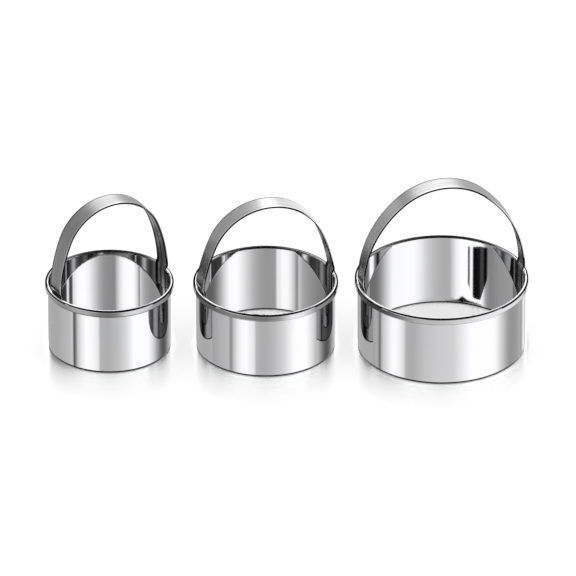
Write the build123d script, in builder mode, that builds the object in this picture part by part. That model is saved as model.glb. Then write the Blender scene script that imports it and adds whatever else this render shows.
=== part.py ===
"""A set of three round biscuit cutters with strap handles, standing in a row.

Each cutter is a ring of thin stainless sheet with a rim curled outwards, and a flat
strap bent over it as a handle. The strap's two ends step inwards just above the rim
and run down inside the wall, where spot welds hold them. The ring is closed by one
welded seam behind the right-hand leg.

Lengths are in millimetres and angles in degrees. +Z is up, the row runs along +X,
and the origin is the middle of the row on the table.
"""
import math
import os

from build123d import *

# Sheet of the rings
sheet_thickness = 0.5
curl_overhang = 1.5
curl_height = 3.8
curl_end_gap = 0.1
edge_land = 0.2
edge_bevel_height = 0.8
seam_width = 0.9

# Strap of the handles
strap_width = 10.0
strap_thickness = 1.0
joggle_height = 3.0
leg_corner_radius = 1.2

# Spot welds between leg and wall
weld_gap = 0.05
weld_diameter = 3.2
weld_spacing = 4.6
weld_depth_in_leg = 0.45
weld_depth_in_wall = 0.25

# Small cutter
small_wall_diameter = 60.0
small_ring_height = 35.0
small_top_height = 79.9
small_leg_length = 10.4
small_lean_degrees = 2.8
small_join_degrees = 21.6
small_turn_degrees = 28.6

# Medium cutter
medium_wall_diameter = 68.0
medium_ring_height = 35.0
medium_top_height = 78.4
medium_leg_length = 11.0
medium_lean_degrees = 9.0
medium_join_degrees = 23.7
medium_turn_degrees = 17.7

# Large cutter
large_wall_diameter = 82.0
large_ring_height = 37.0
large_top_height = 89.2
large_leg_length = 12.0
large_lean_degrees = 0.3
large_join_degrees = 51.5
large_turn_degrees = 14.4

# Spaces between the rims of the row
small_to_medium_gap = 9.4
medium_to_large_gap = 8.0


def headings(angle):
    """The level directions at the angle from +X and to its left."""
    a = math.radians(angle)
    return Vector(math.cos(a), math.sin(a), 0), Vector(-math.sin(a), math.cos(a), 0)


class Cutter:
    """The sizes of one cutter and its place in the row."""

    def __init__(self, name, wall_diameter, height, top, leg_length, lean, join, turn):
        self.name = name
        self.wall_radius = wall_diameter / 2
        self.height = height
        self.top = top
        self.leg_length = leg_length
        self.lean = lean
        self.join = join
        self.turn = turn
        self.inner_radius = self.wall_radius - sheet_thickness
        self.rim_radius = self.wall_radius + curl_overhang
        self.leg_radius = self.inner_radius - weld_gap
        self.foot_height = height + joggle_height
        self.centre_x = 0.0

    def upright_plane(self, angle):
        """The plane that holds the ring's axis and points outwards at the angle."""
        outwards, left = headings(angle)
        return Plane(origin=(self.centre_x, 0, 0), x_dir=outwards, z_dir=-left)

    def level_plane(self, angle, height):
        """The horizontal plane at the height, its x pointing outwards at the angle."""
        outwards, left = headings(angle)
        return Plane(origin=(self.centre_x, 0, height), x_dir=outwards, z_dir=(0, 0, 1))

    def weld_plane(self, angle):
        """The plane square to a leg, at the depth and height where its spot welds lie."""
        outwards, left = headings(angle)
        middle = Vector(self.centre_x, 0, self.height - self.leg_length / 2)
        depth = self.leg_radius - weld_depth_in_leg
        return Plane(origin=middle + outwards * depth, x_dir=left, z_dir=outwards)


small = Cutter("small", small_wall_diameter, small_ring_height, small_top_height,
               small_leg_length, small_lean_degrees, small_join_degrees,
               small_turn_degrees)
medium = Cutter("medium", medium_wall_diameter, medium_ring_height, medium_top_height,
                medium_leg_length, medium_lean_degrees, medium_join_degrees,
                medium_turn_degrees)
large = Cutter("large", large_wall_diameter, large_ring_height, large_top_height,
               large_leg_length, large_lean_degrees, large_join_degrees,
               large_turn_degrees)
cutters = [small, medium, large]

row_length = (2 * sum(cutter.rim_radius for cutter in cutters)
              + small_to_medium_gap + medium_to_large_gap)
small.centre_x = small.rim_radius - row_length / 2
medium.centre_x = small.centre_x + small.rim_radius + small_to_medium_gap + medium.rim_radius
large.centre_x = medium.centre_x + medium.rim_radius + medium_to_large_gap + large.rim_radius

weld_length = weld_depth_in_leg + weld_gap + weld_depth_in_wall
os.makedirs("parts", exist_ok=True)


def on_circle(centre, radius, angle):
    """The point of a circle at an angle in radians."""
    return (centre[0] + radius * math.cos(angle), centre[1] + radius * math.sin(angle))


def save(part, name):
    """Labels a finished piece and writes its file."""
    part.label = name
    export_step(part, f"parts/{name}.step")
    print(f"{name}: volume {part.volume:.1f} mm3")


def ring_section(cutter, angle):
    """The sheet's section at the angle: bevelled cutting edge, wall and hollow curl."""
    curl_radius = (cutter.rim_radius - cutter.inner_radius) / 2
    hollow_radius = curl_radius - sheet_thickness
    curl_middle = cutter.inner_radius + curl_radius
    upper = (curl_middle, cutter.height - curl_radius)
    lower = (curl_middle, cutter.height - curl_height + curl_radius)
    curl_end = cutter.wall_radius + curl_end_gap
    right, up, left, down = 0, math.pi / 2, math.pi, -math.pi / 2
    with BuildSketch(cutter.upright_plane(angle)) as section:
        with BuildLine():
            Polyline(
                (cutter.inner_radius, upper[1]),
                (cutter.inner_radius, 0),
                (cutter.inner_radius + edge_land, 0),
                (cutter.wall_radius, edge_bevel_height),
                (cutter.wall_radius, upper[1]),
            )
            ThreePointArc(*[on_circle(upper, hollow_radius, a) for a in (left, up, right)])
            Line((upper[0] + hollow_radius, upper[1]), (lower[0] + hollow_radius, lower[1]))
            ThreePointArc(*[on_circle(lower, hollow_radius, a) for a in (right, down / 2, down)])
            Polyline(
                (lower[0], lower[1] - hollow_radius),
                (curl_end, lower[1] - hollow_radius),
                (curl_end, lower[1] - curl_radius),
                (lower[0], lower[1] - curl_radius),
            )
            ThreePointArc(*[on_circle(lower, curl_radius, a) for a in (down, down / 2, right)])
            Line((lower[0] + curl_radius, lower[1]), (upper[0] + curl_radius, upper[1]))
            ThreePointArc(*[on_circle(upper, curl_radius, a) for a in (right, up, left)])
        make_face()
    return section.sketch


def weld_spots(cutter, angle):
    """The round spots of one leg's two welds, side by side."""
    with BuildSketch(cutter.weld_plane(angle)) as spots:
        with GridLocations(weld_spacing, 0, 2, 1):
            Circle(weld_diameter / 2)
    return spots.sketch


def leg_section(cutter, angle):
    """The strap's section inside the wall, curved to the wall, at the rim's top."""
    outer, inner = cutter.leg_radius, cutter.leg_radius - strap_thickness
    side = strap_width / 2
    outer_side, inner_side = math.sqrt(outer**2 - side**2), math.sqrt(inner**2 - side**2)
    with BuildSketch(cutter.level_plane(angle, cutter.height)) as section:
        with BuildLine():
            ThreePointArc((outer_side, -side), (outer, 0), (outer_side, side))
            Line((outer_side, side), (inner_side, side))
            ThreePointArc((inner_side, side), (inner, 0), (inner_side, -side))
            Line((inner_side, -side), (outer_side, -side))
        make_face()
    return section.sketch


def make_ring(cutter):
    """The wall and its curled rim, in one piece, with the seam left open."""
    seam_angle = math.degrees(seam_width / cutter.wall_radius)
    axis = Axis((cutter.centre_x, 0, 0), (0, 0, 1))
    with BuildPart() as ring:
        add(ring_section(cutter, cutter.turn + seam_angle / 2))
        revolve(axis=axis, revolution_arc=360 - seam_angle)
        for angle in (cutter.turn, cutter.turn + 180):
            extrude(weld_spots(cutter, angle), amount=weld_length, mode=Mode.SUBTRACT)
    save(ring.part, f"{cutter.name}_ring")
    with BuildPart() as seam:
        add(ring_section(cutter, cutter.turn - seam_angle / 2))
        revolve(axis=axis, revolution_arc=seam_angle)
    save(seam.part, f"{cutter.name}_seam_weld")


def make_handle(cutter):
    """The strap: an arch, two joggles and two curved legs.

    The arch is a crown arc between two side arcs. Each side arc starts at a foot, where
    it leans inwards, and meets the crown arc smoothly at the join angle. Its radius
    follows from the half span and the rise between foot and top.
    """
    lean, join = math.radians(cutter.lean), math.radians(cutter.join)
    rise = cutter.top - cutter.foot_height
    flatness = 1 - math.sin(join)
    side_run, side_rise = math.cos(lean) - math.cos(join), math.sin(join) - math.sin(lean)
    side_radius = ((rise * math.cos(join) - cutter.wall_radius * flatness)
                   / (side_rise * math.cos(join) - side_run * flatness))
    side_centre = (cutter.wall_radius - side_radius * math.cos(lean),
                   cutter.foot_height - side_radius * math.sin(lean))

    inner_side_radius = side_radius - strap_thickness
    inner_lean = math.asin((cutter.foot_height - side_centre[1]) / inner_side_radius)
    inner_foot = on_circle(side_centre, inner_side_radius, inner_lean)
    outer_foot = (cutter.wall_radius, cutter.foot_height)

    with BuildPart() as handle:
        with BuildSketch(cutter.upright_plane(cutter.turn)):
            with BuildLine():
                for depth, low in ((0, lean), (strap_thickness, inner_lean)):
                    angles = (low, (low + join) / 2, join)
                    flank = [on_circle(side_centre, side_radius - depth, a) for a in angles]
                    ThreePointArc(*flank)
                    ThreePointArc(*[(-x, z) for x, z in flank])
                    ThreePointArc(flank[-1], (0, cutter.top - depth), (-flank[-1][0], flank[-1][1]))
                Line(inner_foot, outer_foot)
                Line((-inner_foot[0], inner_foot[1]), (-outer_foot[0], outer_foot[1]))
            make_face()
        extrude(amount=strap_width / 2, both=True)

        for angle in (cutter.turn, cutter.turn + 180):
            leg = leg_section(cutter, angle)
            with BuildSketch(cutter.level_plane(angle, cutter.foot_height)) as foot:
                with Locations(((inner_foot[0] + outer_foot[0]) / 2, 0)):
                    Rectangle(outer_foot[0] - inner_foot[0], strap_width)
            loft([leg, foot.sketch])
            extrude(leg, amount=-cutter.leg_length)
            extrude(weld_spots(cutter, angle), amount=weld_length, mode=Mode.SUBTRACT)

        along_leg = Axis((0, 0, 0), cutter.upright_plane(cutter.turn).x_dir)
        corners = handle.edges().filter_by(along_leg).group_by(Axis.Z)[0]
        fillet(corners, radius=leg_corner_radius)
    save(handle.part, f"{cutter.name}_handle")


def make_spot_welds(cutter):
    """The two welds of each leg, in the recesses that they fill."""
    for side, angle in (("right", cutter.turn), ("left", cutter.turn + 180)):
        with BuildPart() as welds:
            extrude(weld_spots(cutter, angle), amount=weld_length)
        save(welds.part, f"{cutter.name}_{side}_spot_welds")


for cutter in cutters:
    make_ring(cutter)
    make_handle(cutter)
    make_spot_welds(cutter)
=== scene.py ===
# %% [markdown]
# # A set of three biscuit cutters
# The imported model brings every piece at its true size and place, in metres. This script gives
# them their looks: the rings and handles are modelled again with rounded edges and smooth
# surfaces, because polished steel shows every flat facet, and every surface gets its metal.

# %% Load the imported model
import math

import bmesh
import bpy
from mathutils import Matrix, Vector


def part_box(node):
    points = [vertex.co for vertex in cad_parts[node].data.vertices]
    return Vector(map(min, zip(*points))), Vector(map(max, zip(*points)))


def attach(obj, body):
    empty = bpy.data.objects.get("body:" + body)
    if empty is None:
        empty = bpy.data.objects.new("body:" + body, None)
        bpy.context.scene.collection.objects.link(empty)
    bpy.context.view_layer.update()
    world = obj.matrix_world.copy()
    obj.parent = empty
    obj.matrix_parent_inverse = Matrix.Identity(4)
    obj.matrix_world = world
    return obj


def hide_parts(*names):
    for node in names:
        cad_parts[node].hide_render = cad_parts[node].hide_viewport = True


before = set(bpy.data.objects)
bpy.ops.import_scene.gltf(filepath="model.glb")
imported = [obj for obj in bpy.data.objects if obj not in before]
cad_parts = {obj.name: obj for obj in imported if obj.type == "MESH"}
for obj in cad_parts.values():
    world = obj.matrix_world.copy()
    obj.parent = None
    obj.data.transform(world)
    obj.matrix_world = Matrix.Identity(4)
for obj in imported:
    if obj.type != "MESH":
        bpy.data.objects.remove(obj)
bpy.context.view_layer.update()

scene = bpy.context.scene

# %% [markdown]
# The three cutters differ only in their sizes. Lengths are in millimetres, as a maker writes
# them, and are turned into metres once. `lean` is how far each side of the arch leans inwards
# at its foot, `join` is the angle where a side arc meets the crown arc, and `turn` is how far
# the handle is turned from the row.

# %% Sizes of the cutters
MM = 0.001
SHEET = 0.5 * MM
CURL_OVERHANG, CURL_HEIGHT, CURL_END_GAP = 1.5 * MM, 3.8 * MM, 0.1 * MM
EDGE_LAND, EDGE_BEVEL = 0.2 * MM, 0.8 * MM
SEAM_WIDTH = 0.9 * MM
STRAP_WIDTH, STRAP_THICKNESS, JOGGLE_HEIGHT = 10.0 * MM, 1.0 * MM, 3.0 * MM
LEG_GAP, LEG_CORNER = 0.05 * MM, 1.2 * MM

CUTTERS = {
    "small": dict(wall=30.0, height=35.0, top=79.9, leg=10.4, lean=2.8, join=21.6, turn=28.6),
    "medium": dict(wall=34.0, height=35.0, top=78.4, leg=11.0, lean=9.0, join=23.7, turn=17.7),
    "large": dict(wall=41.0, height=37.0, top=89.2, leg=12.0, lean=0.3, join=51.5, turn=14.4),
}
for name, size in CUTTERS.items():
    for length in ("wall", "height", "top", "leg"):
        size[length] *= MM
    for angle in ("lean", "join", "turn"):
        size[angle] = math.radians(size[angle])
    low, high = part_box(name + "_ring")
    size["centre"] = Vector(((low.x + high.x) / 2, 0, 0))
    print(name, "stands at x =", round(size["centre"].x / MM, 2), "mm")

# %% [markdown]
# ## Camera
# The cutters look hardly smaller at the back than at the front, so the picture was taken from
# far away with a long lens. How open the rims' ellipses are gives the height: about 29 degrees
# above the table.

# %% Camera
ELEVATION = math.radians(29.2)
DISTANCE = 8.0
FRAME_WIDTH = 0.2817
AIM = Vector((0.00063, 0, 0.0306))

lens = bpy.data.cameras.new("camera")
lens.sensor_width = 36
lens.lens = lens.sensor_width * DISTANCE / FRAME_WIDTH
camera = bpy.data.objects.new("camera", lens)
camera.location = AIM + DISTANCE * Vector((0, -math.cos(ELEVATION), math.sin(ELEVATION)))
camera.rotation_euler = (math.pi / 2 - ELEVATION, 0, 0)
scene.collection.objects.link(camera)
scene.camera = camera
scene.view_settings.view_transform = "Standard"
print("lens:", round(lens.lens), "mm")


# %% [markdown]
# ## Helpers
# Every material and the studio are node trees. One function adds a node with its settings and
# links, one turns a written colour into the linear values that the renderer works with, and
# one fills a colour ramp.

# %% Node helpers
def linear(colour):
    """The linear red, green and blue of an sRGB hex colour."""
    parts = [int(colour[i:i + 2], 16) / 255 for i in (1, 3, 5)]
    return [p / 12.92 if p <= 0.04045 else ((p + 0.055) / 1.055) ** 2.4 for p in parts] + [1]


def add_node(tree, kind, settings=None, inputs=None):
    """Adds a node, sets its options, and gives each named input a value or a link."""
    node = tree.nodes.new(kind)
    for option, value in (settings or {}).items():
        setattr(node, option, value)
    for socket, value in (inputs or {}).items():
        if isinstance(value, bpy.types.NodeSocket):
            tree.links.new(value, node.inputs[socket])
        else:
            node.inputs[socket].default_value = value
    return node


def fill_ramp(node, stops):
    """Sets a colour ramp to (position, grey level) stops, with levels as they look on screen."""
    ramp = node.color_ramp
    while len(ramp.elements) < len(stops):
        ramp.elements.new(1)
    for element, (position, level) in zip(ramp.elements, stops):
        element.position = position
        element.color = linear("#" + 3 * f"{level:02x}")


print("a mid grey is", round(linear("#808080")[0], 3), "in linear light")

# %% [markdown]
# ## Studio
# Mirror-polished metal has no look of its own: it shows the room. Lamps with edges would have to be
# placed and aimed one by one, so the room is painted straight into the world, as grey levels by
# direction, the way a photographer puts up panels. Round the horizon stand tall pale panels: a
# wide white one on the right, a narrower white one with a black strip on the left, and
# grey between them. A glossy white table mirrors such panels, so a wall that looks down at the table
# sees them too. The steel mirrors about 60 percent of the light, so the room glows 1.6 times as
# brightly as its levels, and they come out on screen about as they are written.

# %% Levels round the room
GLOW = 1.6
PANELS = [(-180, 90), (-172, 130), (-160, 160), (-112, 168), (-80, 188), (-74, 204), (-71, 66),
          (-67, 120), (-62, 198), (-54, 234), (-44, 255), (-32, 250), (-20, 230), (-18, 182),
          (-4, 175), (16, 190), (32, 217), (46, 254), (78, 254), (90, 220), (102, 160), (112, 108),
          (122, 80), (132, 100), (144, 152), (154, 168), (162, 185), (172, 178), (180, 90)]
UPPER_WALLS = [(-180, 176), (-160, 150), (-146, 172), (-128, 172), (-108, 148), (108, 148),
               (140, 158), (158, 200), (170, 204), (180, 176)]
print("panels:", len(PANELS), "stops, walls above them:", len(UPPER_WALLS))

# %% [markdown]
# A colour ramp holds such levels, and the bearing of a direction picks one of them. Bearings are in
# degrees from the front, growing to the right.

# %% Bearings
def bearing_of(tree, vector):
    """Where a vector points round the vertical, from 0 to 1, with the front in the middle."""
    axes = add_node(tree, "ShaderNodeSeparateXYZ", inputs={0: vector}).outputs
    towards_front = add_node(tree, "ShaderNodeMath", {"operation": "MULTIPLY"},
                             {0: axes["Y"], 1: -1.0}).outputs[0]
    bearing = add_node(tree, "ShaderNodeMath", {"operation": "ARCTAN2"},
                       {0: axes["X"], 1: towards_front}).outputs[0]
    return add_node(tree, "ShaderNodeMapRange", inputs={
        "Value": bearing, "From Min": -math.pi, "From Max": math.pi}).outputs[0]


def round_ramp(tree, vector, stops):
    """Grey levels given by (bearing in degrees, level) stops, for where a vector points."""
    ramp = add_node(tree, "ShaderNodeValToRGB", inputs={0: bearing_of(tree, vector)})
    fill_ramp(ramp, [((degrees + 180) / 360, level) for degrees, level in stops])
    return ramp.outputs[0]


print("a bearing of 90 degrees lies at", (90 + 180) / 360, "on the ramp")

# %% [markdown]
# The inside of a ring also mirrors itself. Light that comes by way of two or more mirrors has
# lost some brightness at each, and what it shows high up is mostly the table outside. So
# such light gets dimmer panels and, above the horizon, levels of its own. A light path node tells
# how many mirrors there were.

# %% Light by way of two mirrors
DIMMED = 0.45
FLOOR_GLOW = 1.36
FLOOR_VIEW = [(-180, 60), (-144, 68), (-120, 70), (-96, 125), (-72, 189), (-48, 235), (-24, 236),
              (0, 216), (24, 234), (48, 253), (72, 248), (96, 241), (120, 208), (144, 192), (180, 190)]


def seen_deep(tree, once, deep):
    """One value for light seen in one mirror, another for light seen by way of two or more."""
    bounces = add_node(tree, "ShaderNodeLightPath").outputs["Glossy Depth"]
    return add_node(tree, "ShaderNodeMapRange", inputs={
        "Value": bounces, "From Min": 1.0, "From Max": 2.0, "To Min": once,
        "To Max": deep}).outputs[0]


world = bpy.data.worlds.new("studio")
scene.world = world
world.use_nodes = True
room = world.node_tree
room.nodes.clear()
direction = add_node(room, "ShaderNodeTexCoord").outputs["Generated"]
height = add_node(room, "ShaderNodeSeparateXYZ", inputs={0: direction}).outputs["Z"]
deep = seen_deep(room, 0.0, 1.0)
panels = round_ramp(room, direction, PANELS)
dim_panels = add_node(room, "ShaderNodeMix", {"data_type": "RGBA", "blend_type": "MULTIPLY"},
                      {0: 1.0, 6: panels, 7: panels}).outputs[2]
dim_panels = add_node(room, "ShaderNodeMix", {"data_type": "RGBA"},
                      {0: DIMMED, 6: (0, 0, 0, 1), 7: dim_panels}).outputs[2]
panels = add_node(room, "ShaderNodeMix", {"data_type": "RGBA"},
                  {0: deep, 6: panels, 7: dim_panels}).outputs[2]
floor_view = round_ramp(room, direction, FLOOR_VIEW)
floor_view = add_node(room, "ShaderNodeVectorMath", {"operation": "SCALE"},
                      {0: floor_view, 3: FLOOR_GLOW}).outputs[0]
upper_walls = add_node(room, "ShaderNodeMix", {"data_type": "RGBA"}, {
    0: deep, 6: round_ramp(room, direction, UPPER_WALLS), 7: floor_view}).outputs[2]
print("levels for two mirrors:", len(FLOOR_VIEW), "stops")

# %% [markdown]
# The panels go over softly into the walls above them. Straight below it is dark, and so is
# the ceiling in front, which gives the handles their darker flanks. Behind and above hangs a wide
# soft lamp, which lights the crowns of the handles.

# %% Ceiling and lamp
PANELS_END, WALLS_START = -0.2, 0.15
UNDERFOOT, UNDERFOOT_END = -0.72, -0.6
DARK = 0.01
CEILING_RISE = math.radians(55)
CEILING = Vector((0, -math.cos(CEILING_RISE), math.sin(CEILING_RISE)))
CEILING_CORE, CEILING_REACH = math.radians(56), math.radians(68)
LAMP = Vector((-0.12, 0.86, 0.50)).normalized()
LAMP_CORE, LAMP_REACH = math.radians(3), math.radians(28)
LAMP_LEVEL = 1.2

storey = add_node(room, "ShaderNodeMapRange", inputs={
    "Value": height, "From Min": PANELS_END, "From Max": WALLS_START}).outputs[0]
both_storeys = add_node(room, "ShaderNodeMix", {"data_type": "RGBA"}, {
    0: storey, 6: panels, 7: upper_walls}).outputs[2]
below = add_node(room, "ShaderNodeMapRange", inputs={
    "Value": height, "From Min": UNDERFOOT, "From Max": UNDERFOOT_END, "To Min": DARK}).outputs[0]
to_ceiling = add_node(room, "ShaderNodeVectorMath", {"operation": "DOT_PRODUCT"},
                      {0: direction, 1: CEILING}).outputs["Value"]
above = add_node(room, "ShaderNodeMapRange", inputs={
    "Value": to_ceiling, "From Min": math.cos(CEILING_REACH), "From Max": math.cos(CEILING_CORE),
    "To Min": 1.0, "To Max": DARK}).outputs[0]
above = add_node(room, "ShaderNodeMath", {"operation": "MAXIMUM"}, {0: above, 1: deep}).outputs[0]
dimmed = add_node(room, "ShaderNodeMath", {"operation": "MULTIPLY"}, {0: below, 1: above}).outputs[0]
walls = add_node(room, "ShaderNodeMix", {"data_type": "RGBA", "blend_type": "MULTIPLY"},
                 {0: 1.0, 6: both_storeys, 7: dimmed}).outputs[2]
to_lamp = add_node(room, "ShaderNodeVectorMath", {"operation": "DOT_PRODUCT"},
                   {0: direction, 1: LAMP}).outputs["Value"]
lamp = add_node(room, "ShaderNodeMapRange", {"interpolation_type": "SMOOTHERSTEP"}, {
    "Value": to_lamp, "From Min": math.cos(LAMP_REACH), "From Max": math.cos(LAMP_CORE),
    "To Max": LAMP_LEVEL}).outputs[0]
room_light = add_node(room, "ShaderNodeMix", {"data_type": "RGBA", "blend_type": "ADD"},
                      {0: 1.0, 6: walls, 7: lamp}).outputs[2]
print("the lamp reaches", round(math.degrees(LAMP_REACH)), "degrees from its middle")

# %% [markdown]
# Only mirror images show this room. The camera sees plain white, as in the photograph, and the same
# plain white lights the pieces, an even soft light at the level where colours render as written.

# %% World output
room_view = add_node(room, "ShaderNodeBackground", inputs={"Color": room_light, "Strength": GLOW})
plain = add_node(room, "ShaderNodeBackground", inputs={"Color": (1, 1, 1, 1), "Strength": 1.0})
choice = add_node(room, "ShaderNodeMixShader", inputs={
    0: add_node(room, "ShaderNodeLightPath").outputs["Is Glossy Ray"],
    1: plain.outputs[0], 2: room_view.outputs[0]})
add_node(room, "ShaderNodeOutputWorld", inputs={0: choice.outputs[0]})
print("nodes in the world:", len(room.nodes))

# %% [markdown]
# ## Table
# The table is a glossy white sheet, such as acrylic. A part of what the camera sees is the plain
# white surface, lifted to white by a glow of its own so that only contact shadows show. The
# other part is a mirror image, blurred far more up and down than sideways, as on a sheet that was
# wiped in one direction: the reflections hang below the feet with sharp sides.

# %% Surface of the table
LIFT = 0.7
table_material = bpy.data.materials.new("white glossy table")
table_material.use_nodes = True
tree = table_material.node_tree
tree.nodes.clear()
matt = add_node(tree, "ShaderNodeBsdfDiffuse", inputs={"Color": linear("#A4A4A4")})
lift = add_node(tree, "ShaderNodeEmission", inputs={"Color": (1, 1, 1, 1), "Strength": LIFT})
lifted = add_node(tree, "ShaderNodeAddShader", inputs={0: matt.outputs[0], 1: lift.outputs[0]})
sideways = add_node(tree, "ShaderNodeCombineXYZ", inputs={"X": 1.0}).outputs[0]
gloss = add_node(tree, "ShaderNodeBsdfAnisotropic", inputs={
    "Color": (1, 1, 1, 1), "Roughness": 0.19, "Anisotropy": 0.85, "Tangent": sideways})
print("nodes for the surface:", len(tree.nodes))

# %% [markdown]
# The reflections fade with the distance from each foot, so the share of the mirror image follows
# the distance, straight forwards or backwards, from the nearest ring. At a point beside the
# axis the foot of a ring is the root of one less the square of the sideways share, times the
# radius. Beside a ring the mirror image ends at once, and within it the table is duller.

# %% Fading reflections
FADE = 40 * MM
SIDE_FADE = 4 * MM
DULL_START, DULL_END = -1 * MM, -5 * MM  # within a ring the distance is negative
DULL_SHARE = 0.3
FADING = [(0.0, 240), (0.1, 214), (0.18, 174), (0.33, 138), (0.5, 110), (0.68, 78), (0.85, 38),
          (1.0, 0)]

spot = add_node(tree, "ShaderNodeNewGeometry").outputs["Position"]
nearest = None
for size in CUTTERS.values():
    apart = add_node(tree, "ShaderNodeVectorMath", {"operation": "SUBTRACT"}, {
        0: spot, 1: size["centre"]}).outputs[0]
    apart = add_node(tree, "ShaderNodeSeparateXYZ", inputs={0: apart}).outputs
    aside = add_node(tree, "ShaderNodeMath", {"operation": "ABSOLUTE"}, {0: apart["X"]}).outputs[0]
    away = add_node(tree, "ShaderNodeMath", {"operation": "ABSOLUTE"}, {0: apart["Y"]}).outputs[0]
    share = add_node(tree, "ShaderNodeMath", {"operation": "DIVIDE", "use_clamp": True}, {
        0: aside, 1: size["wall"]}).outputs[0]
    squared = add_node(tree, "ShaderNodeMath", {"operation": "MULTIPLY"}, {0: share, 1: share}).outputs[0]
    rest = add_node(tree, "ShaderNodeMath", {"operation": "SUBTRACT"}, {0: 1.0, 1: squared}).outputs[0]
    root = add_node(tree, "ShaderNodeMath", {"operation": "SQRT"}, {0: rest}).outputs[0]
    foot = add_node(tree, "ShaderNodeMath", {"operation": "MULTIPLY"}, {
        0: root, 1: size["wall"]}).outputs[0]
    distance = add_node(tree, "ShaderNodeMath", {"operation": "SUBTRACT"}, {0: away, 1: foot}).outputs[0]
    beside = add_node(tree, "ShaderNodeMapRange", inputs={
        "Value": aside, "From Min": size["wall"], "From Max": size["wall"] + SIDE_FADE,
        "To Max": FADE}).outputs[0]
    distance = add_node(tree, "ShaderNodeMath", {"operation": "ADD"}, {0: distance, 1: beside}).outputs[0]
    nearest = distance if nearest is None else add_node(
        tree, "ShaderNodeMath", {"operation": "MINIMUM"}, {0: nearest, 1: distance}).outputs[0]
faded = add_node(tree, "ShaderNodeValToRGB", inputs={0: add_node(
    tree, "ShaderNodeMapRange", inputs={"Value": nearest, "From Max": FADE}).outputs[0]})
fill_ramp(faded, FADING)
duller = add_node(tree, "ShaderNodeMapRange", inputs={
    "Value": nearest, "From Min": DULL_END, "From Max": DULL_START,
    "To Min": DULL_SHARE}).outputs[0]
mirrored = add_node(tree, "ShaderNodeMath", {"operation": "MULTIPLY"}, {
    0: faded.outputs[0], 1: duller}).outputs[0]
print("reflections fade over", round(FADE / MM), "mm")

# %% [markdown]
# Light that left the metal passes through the table, so that the metal sees the mirrored panels in
# the world instead. Light for the soft shadows sees a plain pale sheet, which is quicker to render.

# %% Table
TABLE_HALF = 3.0
TABLE_DROP = 0.02 * MM

top = add_node(tree, "ShaderNodeMixShader", inputs={0: mirrored, 1: lifted.outputs[0],
                                                    2: gloss.outputs[0]})
pale = add_node(tree, "ShaderNodeBsdfDiffuse", inputs={"Color": linear("#F0F0F0")})
choice = add_node(tree, "ShaderNodeMixShader", inputs={
    0: add_node(tree, "ShaderNodeLightPath").outputs["Is Camera Ray"], 1: pale.outputs[0],
    2: top.outputs[0]})
add_node(tree, "ShaderNodeOutputMaterial", inputs={0: choice.outputs[0]})

table_mesh = bmesh.new()
bmesh.ops.create_grid(table_mesh, x_segments=1, y_segments=1, size=TABLE_HALF)
bmesh.ops.translate(table_mesh, verts=table_mesh.verts, vec=(0, 0, -TABLE_DROP))
mesh = bpy.data.meshes.new("table")
table_mesh.to_mesh(mesh)
table_mesh.free()
mesh.materials.append(table_material)
table = bpy.data.objects.new("table", mesh)
scene.collection.objects.link(table)
table.visible_glossy = False
print("table:", round(2 * TABLE_HALF), "m square")

# %% [markdown]
# ## Cards
# The three rings don't show quite the same studio, so small cards stand between a ring and the
# room, as a photographer of silverware puts them up. A card is a band of a cylinder round its
# cutter's axis, and its levels follow the bearing from that axis. Only mirror images show it, and it
# glows on the side that is turned to the axis. From the other side it is clear. The cards are stage,
# like the table: they are no part of the object.
#
# A card shows its levels to light from one mirror. To light by way of more mirrors it is clear,
# unless it has a second row of levels for that. A card with such a row is clear to light that has
# already passed through another card.

# %% Material of a card
def card_material(name, size, stops, deep_stops=None):
    """A glow by bearing round the cutter, on the side that is turned to its axis."""
    material = bpy.data.materials.new(name)
    material.use_nodes = True
    tree = material.node_tree
    tree.nodes.clear()
    geometry = add_node(tree, "ShaderNodeNewGeometry").outputs
    from_axis = add_node(tree, "ShaderNodeVectorMath", {"operation": "SUBTRACT"},
                         {0: geometry["Position"], 1: size["centre"]}).outputs[0]
    level, missed = round_ramp(tree, from_axis, stops), seen_deep(tree, 0.0, 1.0)
    if deep_stops:
        level = add_node(tree, "ShaderNodeMix", {"data_type": "RGBA"}, {
            0: missed, 6: level, 7: round_ramp(tree, from_axis, deep_stops)}).outputs[2]
        missed = add_node(tree, "ShaderNodeLightPath").outputs["Transparent Depth"]
    glow = add_node(tree, "ShaderNodeEmission", inputs={
        "Color": level, "Strength": seen_deep(tree, GLOW, GLOW * GLOW)}).outputs[0]
    clear = add_node(tree, "ShaderNodeMath", {"operation": "ADD", "use_clamp": True}, {
        0: geometry["Backfacing"], 1: missed}).outputs[0]
    sides = add_node(tree, "ShaderNodeMixShader", inputs={
        0: clear, 1: glow, 2: add_node(tree, "ShaderNodeBsdfTransparent").outputs[0]})
    add_node(tree, "ShaderNodeOutputMaterial", inputs={0: sides.outputs[0]})
    return material


print("a card glows at", GLOW, "times its level")

# %% [markdown]
# A card begins as one upright edge. It is extruded from bearing to bearing, and each new edge gets
# its own lower and upper end, so a card can have a slanting or a bowed edge.

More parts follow.
